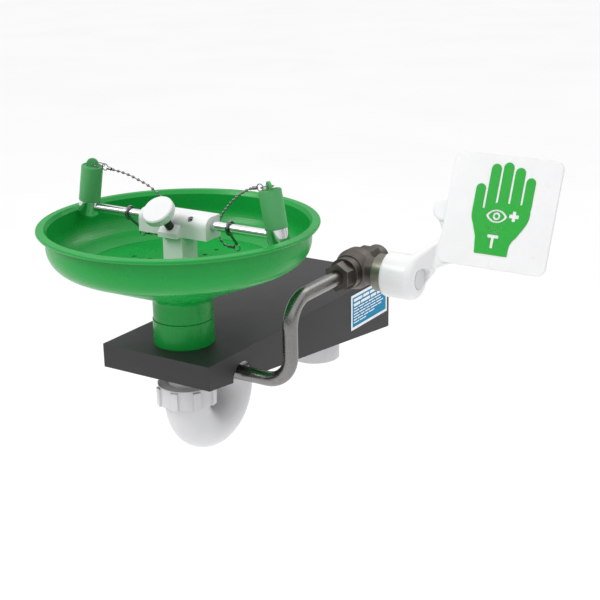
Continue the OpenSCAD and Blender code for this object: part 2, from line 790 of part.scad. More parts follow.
module flag_outline() {
    translate([flag_r, 0]) square([flag_w - 2 * flag_r, flag_h]);
    translate([0, flag_r]) square([flag_w, flag_h - 2 * flag_r]);
    for (x = [flag_r, flag_w - flag_r], y = [flag_r, flag_h - flag_r])
        translate([x, y]) circle(r = flag_r);
}

module flag_plate() {
    color(white) in_flag() difference() {
        translate([0, flag_t, 0]) rotate([90, 0, 0]) linear_extrude(flag_t) flag_outline();
        for (up = flag_screw_s) translate([flag_screw_x, 1.2, up]) along_y()
            cylinder(r = 1.6, h = flag_t);
    }
}

// Two screws from behind, into blind holes in the flag
module flag_screws() {
    tip = 1.4;
    color(chrome) in_flag() for (up = flag_screw_s) {
        translate([flag_screw_x, tip, up]) along_y() cylinder(r = 1.55, h = flag_screw_l - tip + eps);
        translate([flag_screw_x, flag_screw_l, up]) along_y() cylinder(r = 3.4, h = 2.2);
    }
}

module finger(f) {
    r = (f[1] - f[0]) / 2;
    translate([f[0], f[3]]) square([2 * r, f[2] - r - f[3]]);
    translate([f[0] + r, f[2] - r]) circle(r = r);
}

// Lens shape of an eye, w wide
module eye(w) {
    r = w * 0.57;
    lift = sqrt(r * r - w * w / 4);
    intersection() {
        translate([0, lift]) circle(r = r);
        translate([0, -lift]) circle(r = r);
    }
}

// Plain open hand with an eye, a cross and a jet of water cut out of it
module hand_outline() {
    difference() {
        union() {
            polygon(palm);
            for (f = fingers) finger(f);
        }
        translate(eye_at) difference() {
            eye(22.5);
            difference() {
                eye(16.7);
                difference() {
                    circle(r = 4);
                    circle(r = 1.9);
                }
            }
        }
        translate(cross_at) {
            square([10.4, 3.8], center = true);
            square([3.8, 10.4], center = true);
        }
        translate([eye_at[0], jet_top]) {
            translate([-6, -3.4]) square([12, 3.4]);
            translate([-1.6, -13.5]) square([3.2, 12]);
            for (row = [0 : 3], k = [-2 : 2])
                translate([k * (1.7 + 0.6 * row), 1.8 + 2.2 * row]) circle(r = 0.45, $fn = 16);
        }
    }
}

// The sign keeps its size and stays in the middle of the flag
module flag_hand() {
    middle = [57, 56.5];
    color([0.24, 0.70, 0.29]) in_flag() rotate([90, 0, 0])
        translate([flag_w / 2 - middle[0], flag_h / 2 - middle[1], 0])
            linear_extrude(hand_t) hand_outline();
}

// ---- Spray assembly ----

module head_post() {
    color(white) at_bowl() difference() {
        translate([-post_w / 2, -post_w / 2, post_z]) cube([post_w, post_w, head_z - post_z]);
        translate([0, 0, post_z - 1]) cylinder(r = riser_r + 0.2, h = head_z - post_z + 2);
    }
}

// Points on the knob's axis: d is the distance out from the lug's slope
module on_knob_axis(d) {
    translate([0, knob_foot_y - d * cos(knob_a), knob_foot_z + d * sin(knob_a)])
        rotate([90 - knob_a, 0, 0]) children();
}

module head_block() {
    top = head_z + head_h;
    body = concat([[head_front, head_z]],
        reversed(arc(head_front + head_round, top - head_round, head_round, 90, 180)),
        [[-head_front, top], [-head_front, head_z]]);
    lug = [[head_front + 2, head_z], [lug_front, head_z], [lug_front, head_z + lug_h],
        [head_front + 1, head_z + lug_h + 8.5], [head_front + 4, head_z + lug_h + 8.5]];
    color(white) at_bowl() difference() {
        union() {
            translate([-head_half, 0, 0]) rotate([90, 0, 90]) linear_extrude(2 * head_half) polygon(body);
            translate([-lug_w / 2, 0, 0]) rotate([90, 0, 90]) linear_extrude(lug_w) polygon(lug);
        }
        translate([-head_half - 1, 0, tube_z]) along_x() cylinder(r = arm_r - arm_t, h = 2 * head_half + 2);
        for (side = [-1, 1]) translate([side * (head_half - arm_in), 0, tube_z])
            rotate([0, side * 90, 0]) cylinder(r = arm_r + 0.05, h = arm_in + 1);
        translate([0, 0, head_z - 1]) cylinder(r = feed_bore_r, h = tube_z - head_z + 1);
        on_knob_axis(-knob_in - 1) cylinder(r = knob_stem_r + run_gap, h = knob_in + 20);
        for (side = [-1, 1]) head_plug_at(side) cylinder(r = plug_r, h = 20);
    }
}

// A plug's seat, in the rounded edge of each arm
module head_plug_at(side) {
    translate([side * plug_x, head_front + head_round, head_z + head_h - head_round])
        rotate([45, 0, 0]) translate([0, 0, head_round - 5]) children();
}

module head_plugs() {
    color([0.55, 0.55, 0.55]) at_bowl() for (side = [-1, 1]) head_plug_at(side) difference() {
        cylinder(r = plug_r - 0.05, h = 3);
        translate([0, 0, 1.5]) cylinder(r = 1.5, h = 3, $fn = 6);
    }
}

module knob_stem() {
    color([0.25, 0.26, 0.25]) at_bowl() on_knob_axis(-knob_in)
        cylinder(r = knob_stem_r, h = knob_in + knob_out - knob_t - knob_hub_l);
}

module flow_knob() {
    rim_r = knob_d / 2;
    color(white) at_bowl() on_knob_axis(knob_out - knob_t) {
        difference() {
            union() {
                translate([0, 0, -knob_hub_l]) cylinder(r = 9, h = knob_hub_l + 1);
                cylinder(r1 = rim_r - 2, r2 = rim_r - 0.8, h = 2);
                translate([0, 0, 2]) cylinder(r = rim_r - 0.8, h = knob_t - 3.5);
                translate([0, 0, knob_t - 1.5]) cylinder(r1 = rim_r - 0.8, r2 = rim_r - 2.2, h = 1.5);
            }
            for (i = [0 : knob_ribs - 1]) rotate([0, 0, i * 360 / knob_ribs])
                translate([rim_r, 0, -1]) cylinder(r = 1.2, h = knob_t + 2, $fn = 16);
        }
    }
}

module arm_tube(side) {
    inner_x = head_half - arm_in;
    tube_l = spray_x - 4 - inner_x;
    color(chrome) at_bowl() translate([side * inner_x, 0, tube_z]) rotate([0, side * 90, 0])
        ring(arm_r, arm_r - arm_t, tube_l);
}

module arm_tube_left() arm_tube(-1);
module arm_tube_right() arm_tube(1);

// A spray head's frame: z runs up its leaning axis from the cap's lower edge
module in_spray(side) {
    shift = (cap_base_z - tube_z) * tan(spray_lean);
    at_bowl() translate([side * (spray_x - shift), 0, cap_base_z])
        rotate([0, -side * spray_lean, 0]) children();
}

module spray_head(side) {
    inner_x = head_half - arm_in;
    color(chrome) difference() {
        in_spray(side) {
            translate([0, 0, spray_foot + 3]) cylinder(r = spray_r, h = -spray_foot - 3);
            translate([0, 0, spray_foot]) cylinder(r1 = spray_r - 3, r2 = spray_r, h = 3);
            cylinder(r = spray_spigot_r, h = spigot_top);
        }
        in_spray(side) {
            translate([0, 0, spray_foot + 5]) cylinder(r = spray_bore_r, h = 50);
            translate([0, 0, spigot_top - nozzle_t]) cylinder(r = nozzle_r + 0.05, h = 10);
        }
        at_bowl() translate([side * inner_x, 0, tube_z]) rotate([0, side * 90, 0])
            cylinder(r = arm_r + 0.05, h = spray_x - 4 - inner_x);
    }
}

module spray_head_left() spray_head(-1);
module spray_head_right() spray_head(1);

module nozzle(side) {
    color(chrome) in_spray(side) translate([0, 0, spigot_top - nozzle_t]) difference() {
        cylinder(r = nozzle_r, h = nozzle_t);
        translate([0, 0, -1]) cylinder(r = nozzle_hole_r, h = nozzle_t + 2);
        for (a = [0 : 60 : 300]) rotate([0, 0, a]) translate([3.4, 0, -1])
            cylinder(r = nozzle_hole_r, h = nozzle_t + 2);
    }
}

module nozzle_left() nozzle(-1);
module nozzle_right() nozzle(1);

// A cap's ear: x runs along its plate, z up from the cap's top
module in_ear(side) {
    in_spray(side) translate([0, 0, cap_h + seat])
        rotate([0, 0, side < 0 ? ear_turn_left : ear_turn_right]) children();
}

module dust_cap(side) {
    color(cap_green) difference() {
        union() {
            in_spray(side) translate([0, 0, seat]) {
                cylinder(r = cap_r, h = cap_h);
                translate([0, 0, cap_h]) ring(cap_r - 0.6, cap_r - 2, cap_lip_h);
            }
            in_ear(side) {
                translate([0, ear_t / 2, ear_up]) along_front() cylinder(r = ear_r, h = ear_t);
                translate([-ear_r, -ear_t / 2, -1]) cube([2 * ear_r, ear_t, ear_up + 1]);
            }
        }
        in_spray(side) cylinder(r = cap_bore_r, h = cap_h - cap_top_t + seat);
        in_ear(side) translate([0, ear_t, ear_hole_up]) along_front()
            cylinder(r = ear_hole_r, h = 2 * ear_t);
    }
}

module dust_cap_left() dust_cap(-1);
module dust_cap_right() dust_cap(1);

// Round wire ring lying flat
module wire_ring(r, wire) rotate_extrude() translate([r, 0]) circle(r = wire, $fn = 16);

// Ring through the ear, then a split ring with the chain's end socket on it
module cap_link(side) {
    eye_x = eye_ring_r + 0.3;
    turn = side < 0 ? ear_turn_left : ear_turn_right;
    split_x = eye_ring_r - 2 * wire_r - 0.3 + split_ring_r;
    color(chrome) in_ear(side) translate([eye_x, 0, ear_hole_up]) {
        wire_ring(eye_ring_r, wire_r);
        rotate([0, 0, (side < 0 ? 0 : 180) - turn]) translate([split_x, 0, 0]) {
            rotate([90, 0, 0]) wire_ring(split_ring_r, wire_r);
            translate([split_ring_r, 0, 0]) along_x() cylinder(r = socket_r, h = socket_len);
        }
    }
}

module cap_link_left() cap_link(-1);
module cap_link_right() cap_link(1);

// Spring clip round an arm tube, with a wire tail down to the eye that the chain ends on
module tube_clip(side) {
    clip_r = arm_r + clip_wire_r + seat;
    run = [-side * tail_in, tail_back, clip_r - tail_drop];
    color(chrome) at_bowl() translate([side * clip_x, 0, tube_z]) {
        rotate([0, 90, 0]) wire_ring(clip_r, clip_wire_r);
        translate([0, 0, -clip_r]) rotate([0, acos(run[2] / norm(run)), atan2(run[1], run[0])])
            cylinder(r = clip_wire_r, h = norm(run));
        translate([-side * tail_in, tail_back, -tail_drop - split_ring_r]) {
            rotate([90, 0, 0]) wire_ring(split_ring_r, wire_r);
            rotate([0, -side * 90, 0]) translate([0, 0, split_ring_r])
                cylinder(r = socket_r, h = socket_len);
        }
    }
}

module tube_clip_left() tube_clip(-1);
module tube_clip_right() tube_clip(1);

function unit(v) = v / norm(v);
function clamp_i(i, n) = max(0, min(n - 1, i));

// Round tube with 8 sides along a list of points
module swept_cord(points, r) {
    n = len(points);
    sides = 8;
    rings = [for (i = [0 : n - 1])
        let (t = unit(points[clamp_i(i + 1, n)] - points[clamp_i(i - 1, n)]),
            u = unit(cross(t, [0, 1, 0])), v = cross(t, u))
        for (k = [0 : sides - 1]) let (a = k * 360 / sides) points[i] + r * (cos(a) * u + sin(a) * v)];
    side_faces = [for (i = [0 : n - 2], k = [0 : sides - 1]) let (m = (k + 1) % sides)
        [i * sides + k, (i + 1) * sides + k, (i + 1) * sides + m, i * sides + m]];
    near_end = [for (k = [0 : sides - 1]) k];
    far_end = [for (k = [sides - 1 : -1 : 0]) (n - 1) * sides + k];
    polyhedron(rings, concat(side_faces, [near_end, far_end]));
}

module chain_left() color(chrome) at_bowl() swept_cord(chain_left_pts, bead_d / 2);
module chain_right() color(chrome) at_bowl() swept_cord(chain_right_pts, bead_d / 2);

bracket_shell();
wall_plate();
side_label();
bowl();
neck_collar();
strainer_plate();
drain_gasket();
drain_body();
drain_locknut();
trap_slip_nut();
trap_washer();
trap_j_bend();
trap_elbow();
trap_arm();
waste_elbow();
feed_elbow();
feed_nut();
tube_ferrules();
supply_tube();
compression_nut();
valve_end();
valve_body();
valve_seats();
stem_packing();
bonnet_nut();
valve_ball();
valve_stem();
handle_hub();
hub_screw();
hub_cap();
flag_plate();
flag_screws();
flag_hand();
head_post();
head_block();
head_plugs();
flow_knob();
knob_stem();
arm_tube_left();
arm_tube_right();
spray_head_left();
spray_head_right();
nozzle_left();
nozzle_right();
dust_cap_left();
dust_cap_right();
cap_link_left();
cap_link_right();
tube_clip_left();
tube_clip_right();
chain_left();
chain_right();
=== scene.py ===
import json
import math

import bmesh
import bpy
from mathutils import Matrix, Vector


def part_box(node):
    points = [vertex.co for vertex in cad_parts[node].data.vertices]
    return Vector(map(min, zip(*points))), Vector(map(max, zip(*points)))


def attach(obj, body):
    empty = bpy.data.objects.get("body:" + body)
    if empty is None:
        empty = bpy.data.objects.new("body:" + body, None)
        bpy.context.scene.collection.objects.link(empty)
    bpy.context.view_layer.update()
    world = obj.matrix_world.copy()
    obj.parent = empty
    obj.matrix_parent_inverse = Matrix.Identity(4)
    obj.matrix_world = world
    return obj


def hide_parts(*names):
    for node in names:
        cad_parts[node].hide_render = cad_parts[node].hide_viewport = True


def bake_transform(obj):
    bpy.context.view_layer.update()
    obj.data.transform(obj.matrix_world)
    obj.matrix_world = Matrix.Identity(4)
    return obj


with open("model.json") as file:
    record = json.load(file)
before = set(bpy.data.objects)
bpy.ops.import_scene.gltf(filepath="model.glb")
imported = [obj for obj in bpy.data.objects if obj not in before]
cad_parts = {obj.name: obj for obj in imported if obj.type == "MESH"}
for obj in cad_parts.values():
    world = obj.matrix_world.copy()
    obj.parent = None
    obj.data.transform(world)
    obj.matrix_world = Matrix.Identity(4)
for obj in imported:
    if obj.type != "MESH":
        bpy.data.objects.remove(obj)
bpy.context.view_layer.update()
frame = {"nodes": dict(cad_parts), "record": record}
nodes = frame["nodes"]
MM = 0.001

# ---- Places taken from the frame ----

bowl_low, bowl_high = (Vector(p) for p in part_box("bowl"))
bracket_low, bracket_high = (Vector(p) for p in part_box("bracket_shell"))
bowl_middle = (bowl_low + bowl_high) / 2
bowl_axis = Vector((bowl_middle.x, bowl_middle.y, bracket_high.z))


# ---- Camera ----

CAMERA_AZIMUTH = math.radians(32.62)
CAMERA_PITCH = math.radians(18.48)
CAMERA_ROLL = math.radians(-0.9)
CAMERA_PLACE = Vector((0.7465, -1.26, 0.4425))  # its height is from the bracket's top
SENSOR_MM = 36
LENS_MM = 75.24
CLIP_END = 1000


def make_camera():
    """The photographed view: from the user's right and above, with a slight roll."""
    data = bpy.data.cameras.new("camera")
    data.sensor_width = SENSOR_MM
    data.lens = LENS_MM
    data.clip_end = CLIP_END
    camera = bpy.data.objects.new("camera", data)
    bpy.context.scene.collection.objects.link(camera)
    turn = (Matrix.Rotation(CAMERA_AZIMUTH, 4, "Z")
            @ Matrix.Rotation(math.pi / 2 - CAMERA_PITCH, 4, "X")
            @ Matrix.Rotation(CAMERA_ROLL, 4, "Z"))
    place = CAMERA_PLACE + Vector((0, 0, bracket_high.z))
    camera.matrix_world = Matrix.Translation(place) @ turn
    bpy.context.scene.camera = camera


# ---- Mesh helpers ----

def add_mesh(name, mesh, material, body, smooth=True):
    """A new piece from a bmesh, riding on a body."""
    data = bpy.data.meshes.new(name)
    mesh.to_mesh(data)
    mesh.free()
    for face in data.polygons:
        face.use_smooth = smooth
    piece = bpy.data.objects.new(name, data)
    bpy.context.scene.collection.objects.link(piece)
    data.materials.append(material)
    if body:
        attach(piece, body)
    return piece


def rounded_bar(mesh, low, high, radius=0.0, steps=4):
    """A flat block from low to high with its corners in the YZ plane rounded."""
    corners = [(high.y - radius, high.z - radius, 0), (low.y + radius, high.z - radius, 90),
               (low.y + radius, low.z + radius, 180), (high.y - radius, low.z + radius, 270)]
    outline = []
    for y, z, start in corners:
        for k in range(steps + 1 if radius else 1):
            a = math.radians(start + 90 * k / steps)
            outline.append((y + radius * math.cos(a), z + radius * math.sin(a)))
    rings = [[mesh.verts.new((x, y, z)) for y, z in outline] for x in (low.x, high.x)]
    mesh.faces.new(list(reversed(rings[0])))
    mesh.faces.new(rings[1])
    for k in range(len(outline)):
        m = (k + 1) % len(outline)
        mesh.faces.new((rings[0][k], rings[0][m], rings[1][m], rings[1][k]))


def curve_through(points, steps=8):
    """Points along one smooth curve through the given ones."""
    out = []
    for i in range(len(points) - 1):
        a, b = points[max(i - 1, 0)], points[i]
        c, d = points[i + 1], points[min(i + 2, len(points) - 1)]
        for k in range(steps):
            t = k / steps
            out.append(0.5 * (2 * b + (c - a) * t + (2 * a - 5 * b + 4 * c - d) * t ** 2
                              + (3 * b - a - 3 * c + d) * t ** 3))
    return out + [points[-1]]


def at_length(line, distance):
    """(the point that far along a line of points, the direction there)."""
    for a, b in zip(line, line[1:]):
        step = (b - a).length
        if distance <= step:
            return a.lerp(b, distance / step), (b - a).normalized()
        distance -= step
    return line[-1], (line[-1] - line[-2]).normalized()


def line_length(line):
    return sum((b - a).length for a, b in zip(line, line[1:]))


# ---- Bead chains ----

# Routes from the cap's end socket to the clip's, in millimetres from the bowl's axis, at the
# height of the bracket's top
CHAIN_LEFT = [(-86, 3.4, 168), (-80.5, 4, 167), (-75, 5, 166), (-69.5, 6, 164.5),
              (-64, 7.5, 162.5), (-59, 9, 160), (-54, 10.5, 157.5), (-49.5, 12, 155),
              (-45, 13.5, 152), (-41, 15, 148.5), (-37, 16.5, 145), (-33.5, 17.5, 140.5),
              (-30.5, 18.5, 136), (-28, 19, 131), (-26, 19, 125.5), (-25, 19, 120),
              (-26, 18.5, 114.5), (-29, 18, 109.5), (-33.5, 17.5, 106), (-39, 17, 103.5),
              (-45, 16, 102.5), (-50.2, 14.5, 103.1)]
CHAIN_RIGHT = [(86.5, 4, 168), (81.5, 4.5, 166), (76.5, 5.5, 163.5), (71.5, 6.5, 160.5),
               (66.5, 7.5, 157), (62, 9, 153.5), (57, 10, 149.5), (52.5, 11.5, 145.5),
               (48.5, 13, 141.5), (44, 14.5, 137), (40.5, 16, 132.5), (37, 17.5, 127.5),
               (34.5, 18.5, 122.5), (33.5, 18.5, 117), (34.5, 18.5, 111.5), (37, 18, 107),
               (41, 17, 104), (45.5, 16, 102.5), (50.2, 14.5, 103.1)]
BEAD = 3 * MM
BEAD_PITCH = 5.8 * MM
LINK = 0.9 * MM
LIP_R = 0.9 * LINK       # the short lips where a link enters a bead
LIP_L = 0.16 * BEAD
LIP_AT = 0.47 * BEAD     # from the bead's centre
LINK_LAP = 1.02          # each stretch of link runs a little into the next


def along_z(direction):
    """The turn that takes Z to a direction."""
    return Vector((0, 0, 1)).rotation_difference(direction).to_matrix().to_4x4()


def rod(mesh, place, direction, radius, depth, segments):
    """A closed round rod centred on a place."""
    bmesh.ops.create_cone(mesh, cap_ends=True, segments=segments, radius1=radius, radius2=radius,
                          depth=depth, matrix=Matrix.Translation(place) @ along_z(direction))


def bead_chain(side, route, material):
    """Beads on short wire links, as one mesh running from its cap to its clip."""
    line = curve_through([bowl_axis + MM * Vector(p) for p in route])
    long = line_length(line)
    mesh = bmesh.new()
    count = int((long - BEAD) / BEAD_PITCH) + 1
    first = (long - (count - 1) * BEAD_PITCH) / 2
    for i in range(count):
        place, along = at_length(line, first + i * BEAD_PITCH)
        bmesh.ops.create_uvsphere(mesh, u_segments=16, v_segments=10, radius=BEAD / 2,
                                  matrix=Matrix.Translation(place) @ along_z(along))
        for end in (-1, 1):
            rod(mesh, place + along * end * LIP_AT, along, LIP_R, LIP_L, 12)
    stops = [0] + [first + (i + 0.5) * BEAD_PITCH for i in range(-1, count)] + [long]
    stops = sorted({min(max(s, 0), long) for s in stops})
    for a, b in zip(stops, stops[1:]):
        start, end = at_length(line, a)[0], at_length(line, b)[0]
        rod(mesh, (start + end) / 2, end - start, LINK / 2, (end - start).length * LINK_LAP, 10)
    chain = add_mesh(f"bead_chain_{side}", mesh, material, None)
    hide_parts(f"chain_{side}")
    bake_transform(chain)


# ---- Materials ----

class Surface:
    """A material's node tree, with short calls for the nodes that every surface here uses."""

    def __init__(self, name):
        self.material = bpy.data.materials.new(name)
        self.material.use_nodes = True
        self.tree = self.material.node_tree
        self.shader = self.tree.nodes["Principled BSDF"]
        self.place = self.new("ShaderNodeTexCoord").outputs["Object"]

    def new(self, kind, **values):
        node = self.tree.nodes.new(kind)
        for key, value in values.items():
            if hasattr(node, key):
                setattr(node, key, value)
            else:
                node.inputs[key.replace("_", " ")].default_value = value
        return node

    def link(self, source, target):
        self.tree.links.new(source, target)

    def stretched(self, scale):
        mapping = self.new("ShaderNodeMapping")
        mapping.inputs["Scale"].default_value = scale
        self.link(self.place, mapping.inputs["Vector"])
        return mapping.outputs["Vector"]

    def noise(self, scale, detail=3, rough=0.5, place=None):
        node = self.new("ShaderNodeTexNoise", Scale=scale, Detail=detail, Roughness=rough)
        self.link(place or self.place, node.inputs["Vector"])
        return node.outputs["Fac"]

    def between(self, fac, low, high, start=0.3, end=0.7):
        node = self.new("ShaderNodeMapRange")
        ends = {"From Min": start, "From Max": end, "To Min": low, "To Max": high}
        for key, value in ends.items():
            node.inputs[key].default_value = value
        self.link(fac, node.inputs["Value"])
        return node.outputs["Result"]

    def mix(self, fac, a, b):
        node = self.new("ShaderNodeMix", data_type="RGBA")
        self.link(fac, node.inputs[0])
        for value, socket in ((a, node.inputs[6]), (b, node.inputs[7])):
            if isinstance(value, (tuple, list)):
                socket.default_value = (*value[:3], 1)
            else:
                self.link(value, socket)
        return node.outputs[2]

    def edges(self, radius):
        """(rounded normal, mask that is 1 where it leaves the plain one most)."""
        bevel = self.new("ShaderNodeBevel", samples=6)
        bevel.inputs["Radius"].default_value = radius
        plain = self.new("ShaderNodeNewGeometry").outputs["Normal"]
        dot = self.new("ShaderNodeVectorMath", operation="DOT_PRODUCT")
        self.link(bevel.outputs["Normal"], dot.inputs[0])
        self.link(plain, dot.inputs[1])
        turned, flat = 0.8, 0.99
        return bevel.outputs["Normal"], self.between(dot.outputs["Value"], 1, 0, turned, flat)

    def bump(self, height, distance, strength=1.0, normal=None):
        node = self.new("ShaderNodeBump", Distance=distance, Strength=strength)
        self.link(height, node.inputs["Height"])
        if normal:
            self.link(normal, node.inputs["Normal"])
        return node.outputs["Normal"]

    def finish(self, color, rough, normal, metallic=0.0, **sockets):
        self.link(color, self.shader.inputs["Base Color"])
        self.link(rough, self.shader.inputs["Roughness"])
        self.link(normal, self.shader.inputs["Normal"])
        self.shader.inputs["Metallic"].default_value = metallic
        for key, value in sockets.items():
            self.shader.inputs[key.replace("_", " ")].default_value = value
        return self.material


def shade(color, factor):
    return tuple(c * factor for c in color)


def powder_coat(name, color, rough):
    """Fine orange peel on folded sheet, a little lighter where edges are rubbed."""
    s = Surface(name)
    normal, edge = s.edges(radius=0.9 * MM)
    clouds = s.noise(scale=14, detail=4)
    body = s.mix(s.between(clouds, 0, 1), shade(color, 0.86), shade(color, 1.16))
    rubs = s.noise(scale=90, detail=5, rough=0.7)
    worn = s.new("ShaderNodeMath", operation="MULTIPLY")
    s.link(edge, worn.inputs[0])
    s.link(s.between(rubs, 0, 0.55, start=0.45, end=0.75), worn.inputs[1])
    shown = s.mix(worn.outputs[0], body, shade(color, 3.2))
    peel = s.bump(s.noise(scale=900, detail=2), distance=0.12 * MM, strength=0.5, normal=normal)
    return s.finish(shown, s.between(clouds, rough - 0.05, rough + 0.08), peel,
                    Specular_IOR_Level=0.35)


def moulded(name, color, rough, grain=0.05 * MM, coat=0.0, soft=0.0, radius=0.8 * MM, sheen=0.5):
    """Moulded plastic: faint flow clouds, fine grain, edges rounded by the mould, and a painted
    highlight that lightens every edge.
    """
    s = Surface(name)
    normal, edge = s.edges(radius)
    clouds = s.noise(scale=9, detail=5, rough=0.6)
    body = s.mix(s.between(clouds, 0, 1), shade(color, 0.95), shade(color, 1.05))
    # painted highlight: a lighter copy of the colour, laid evenly along every edge
    edge_highlight_color = tuple(min(1, c * 1.12 + 0.015) for c in color)
    shown = s.mix(s.between(edge, 0, 0.25, start=0, end=1), body, edge_highlight_color)
    grainy = s.bump(s.noise(scale=1400), distance=grain, strength=0.35, normal=normal)
    smears = s.noise(scale=38, detail=4, rough=0.65)
    return s.finish(shown, s.between(smears, rough - 0.04, rough + 0.07), grainy,
                    Coat_Weight=coat, Coat_Roughness=0.08, Subsurface_Weight=soft,
                    Subsurface_Scale=4 * MM, Specular_IOR_Level=sheen)


def polished(name, color, rough=0.09):
    """Chrome plate: mirror with hair scratches and faint finger haze."""
    s = Surface(name)
    normal, _ = s.edges(radius=0.5 * MM)
    haze = s.noise(scale=60, detail=4, rough=0.7)
    body = s.mix(s.between(haze, 0, 1), shade(color, 0.93), color)
    hair = s.noise(scale=500, detail=2, place=s.stretched((1, 9, 9)))
    scratched = s.bump(hair, distance=0.02 * MM, strength=0.25, normal=normal)
    return s.finish(body, s.between(haze, rough, rough + 0.09), scratched, metallic=1)


def brushed(name, color, rough=0.3):
    """Drawn stainless tube: long fine scratches and cloudy sheen."""
    s = Surface(name)
    normal, _ = s.edges(radius=0.5 * MM)
    lines = s.noise(scale=1500, detail=4, rough=0.6, place=s.stretched((0.06, 1, 1)))
    clouds = s.noise(scale=22, detail=5, rough=0.6)
    body = s.mix(s.between(lines, 0, 1), shade(color, 0.72), shade(color, 1.1))
    shown = s.mix(s.between(clouds, 0, 0.5), body, shade(color, 0.62))
    drawn = s.bump(lines, distance=0.04 * MM, strength=0.4, normal=normal)
    return s.finish(shown, s.between(lines, rough - 0.08, rough + 0.12), drawn, metallic=1)


def cast_metal(name, color, rough=0.42, grain=0.22 * MM):
    """Forged valve metal: a sandy skin in cloudy shades, with a painted highlight along every
    edge.
    """
    s = Surface(name)
    normal, edge = s.edges(radius=0.8 * MM)
    skin = s.noise(scale=420, detail=5, rough=0.65)
    clouds = s.noise(scale=30, detail=4)
    body = s.mix(s.between(clouds, 0, 1), shade(color, 0.7), shade(color, 1.3))
    # painted highlight: the colour is brightened to three times its tone along every edge
    shown = s.mix(s.between(edge, 0, 0.7, start=0, end=1), body, shade(color, 3))
    sandy = s.bump(skin, distance=grain, strength=0.5, normal=normal)
    return s.finish(shown, s.between(skin, rough - 0.1, rough + 0.12), sandy, metallic=0.85)


def rubbery(name, color):
    """Dull elastomer with a dusty bloom."""
    s = Surface(name)
    normal, _ = s.edges(radius=0.3 * MM)
    bloom = s.noise(scale=80, detail=5, rough=0.7)
    body = s.mix(s.between(bloom, 0, 1), color, shade(color, 2.2))
    dusty = s.bump(s.noise(scale=900), distance=0.05 * MM, strength=0.5, normal=normal)
    return s.finish(body, s.between(bloom, 0.7, 0.9), dusty)


def printed(name, color, sheen=0.5):
    """Ink on film: slightly mottled, with a low gloss."""
    s = Surface(name)
    normal, _ = s.edges(radius=0.2 * MM)
    mottle = s.noise(scale=260, detail=4, rough=0.7)
    light = tuple(min(1, c * 1.06) for c in color)
    body = s.mix(s.between(mottle, 0, 1), shade(color, 0.93), light)
    film = s.bump(s.noise(scale=700, detail=2), distance=0.02 * MM, strength=0.4, normal=normal)
    return s.finish(body, s.between(mottle, 0.3, 0.43), film, Specular_IOR_Level=sheen)


def make_materials():
    return {
        "dark_paint": powder_coat("dark_paint", (0.030, 0.029, 0.031), 0.5),
        "label_blue": printed("label_blue", (0.002, 0.235, 0.43), sheen=0.1),
        "label_white": printed("label_white", (0.86, 0.88, 0.90)),
        "green_gloss": moulded("green_gloss", (0.006, 0.31, 0.046), 0.28, grain=0.03 * MM,
                               coat=0.05, radius=1 * MM, sheen=0.28),
        "cap_green": moulded("cap_green", (0.075, 0.34, 0.115), 0.45, radius=0.6 * MM, sheen=0.35),
        "black_rubber": rubbery("black_rubber", (0.02, 0.02, 0.02)),
        "packing_black": rubbery("packing_black", (0.03, 0.03, 0.03)),
        "drain_white": moulded("drain_white", (0.78, 0.78, 0.76), 0.4),
        "pipe_grey": moulded("pipe_grey", (0.66, 0.665, 0.675), 0.33, soft=0.1),
        "plain_brass": cast_metal("plain_brass", (0.58, 0.42, 0.17), 0.3, grain=0.06 * MM),
        "brushed_tube": brushed("brushed_tube", (0.27, 0.262, 0.255), 0.26),
        "dark_bronze": cast_metal("dark_bronze", (0.105, 0.092, 0.083)),
        "olive_bronze": cast_metal("olive_bronze", (0.22, 0.215, 0.175), 0.38, grain=0.1 * MM),
        "seat_ptfe": moulded("seat_ptfe", (0.82, 0.81, 0.77), 0.5),
        "bright_chrome": polished("bright_chrome", (0.78, 0.78, 0.80)),
        "bead_nickel": polished("bead_nickel", (0.22, 0.22, 0.225), 0.18),
        "handle_white": moulded("handle_white", (0.77, 0.775, 0.78), 0.3, coat=0.15, soft=0.05),
        "cap_grey": moulded("cap_grey", (0.62, 0.63, 0.64), 0.4),
        "sign_green": printed("sign_green", (0.022, 0.37, 0.042), sheen=0.2),
        "head_white": moulded("head_white", (0.74, 0.745, 0.75), 0.36, soft=0.05, radius=0.6 * MM),
        "plug_grey": brushed("plug_grey", (0.22, 0.22, 0.22)),
        "stem_dark": cast_metal("stem_dark", (0.045, 0.045, 0.045), 0.35, grain=0.05 * MM),
    }


def dress_cad_nodes(materials):
    """Gives each CAD node its slot's material, and the wire parts the chains' duller plating."""
    for part in frame["record"]["subparts"]:
        node = nodes[part["node"]]
        node.data.materials.clear()
        node.data.materials.append(materials[part["material_slot"]])
    for side in ("left", "right"):
        for wire in ("cap_link", "tube_clip"):
            nodes[f"{wire}_{side}"].data.materials[0] = materials["bead_nickel"]


# Nodes with creases to melt: the skin's cell in millimetres, and the turns of smoothing
SOFTENED = {"handle_hub": (0.7, 24), "valve_body": (0.5, 6)}


def soften(node, cell, turns):
    """Melts the creases of a moulded or cast node into fillets."""
    remesh = node.modifiers.new("even_skin", "REMESH")
    remesh.mode = "VOXEL"
    remesh.voxel_size = cell
    remesh.use_smooth_shade = True
    smooth = node.modifiers.new("fillets", "SMOOTH")
    smooth.factor = 0.5
    smooth.iterations = turns


# ---- Label print ----

LABEL_FILM = 0.15 * MM
LABEL_BORDER = 3.2 * MM
LEFT_MARGIN = 2.8 * MM
RIGHT_MARGIN = 2 * MM
ROW_GAP = 2.1 * MM
WORD_GAP = 1.8 * MM
BAR_ROUND = 0.3          # of the bar's height
BOLD = 3.4 * MM
FINE = 1.3 * MM
